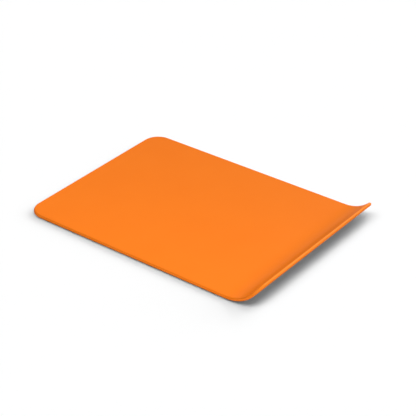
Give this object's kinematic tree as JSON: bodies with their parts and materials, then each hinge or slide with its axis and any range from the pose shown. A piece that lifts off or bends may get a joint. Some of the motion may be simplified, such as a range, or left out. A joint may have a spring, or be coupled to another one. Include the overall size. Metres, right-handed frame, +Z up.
{
  "type": "flexible cutting mat",
  "caption": "Flexible cutting mat: a thin orange sheet with rounded corners and a full-round edge, swept up into a lip at its far end, on small rubber grip feet.",
  "frame": {"origin": "on the table, under the centre of the mat's box", "axes": "+X along the mat towards the lip, +Y across it, +Z up"},
  "size_m": [0.387, 0.28, 0.0311],
  "materials": {
    "mat_plastic": "soft satin orange, with a fine moulded grain",
    "grip_rubber": "matt dark grey soft rubber"
  },
  "bodies": {
    "root": {"mat_sheet": "mat_plastic", "grip_foot_1_1": "grip_rubber", "grip_foot_1_2": "grip_rubber", "grip_foot_1_3": "grip_rubber", "grip_foot_1_4": "grip_rubber", "grip_foot_1_5": "grip_rubber", "grip_foot_2_1": "grip_rubber", "grip_foot_2_2": "grip_rubber", "grip_foot_2_3": "grip_rubber", "grip_foot_2_4": "grip_rubber", "grip_foot_2_5": "grip_rubber", "grip_foot_3_1": "grip_rubber", "grip_foot_3_2": "grip_rubber", "grip_foot_3_3": "grip_rubber", "grip_foot_3_4": "grip_rubber", "grip_foot_3_5": "grip_rubber", "grip_foot_4_1": "grip_rubber", "grip_foot_4_2": "grip_rubber", "grip_foot_4_3": "grip_rubber", "grip_foot_4_4": "grip_rubber", "grip_foot_4_5": "grip_rubber", "grip_foot_5_1": "grip_rubber", "grip_foot_5_2": "grip_rubber", "grip_foot_5_3": "grip_rubber", "grip_foot_5_4": "grip_rubber", "grip_foot_5_5": "grip_rubber", "grip_foot_6_1": "grip_rubber", "grip_foot_6_2": "grip_rubber", "grip_foot_6_3": "grip_rubber", "grip_foot_6_4": "grip_rubber", "grip_foot_6_5": "grip_rubber"}
  },
  "joints": []
}
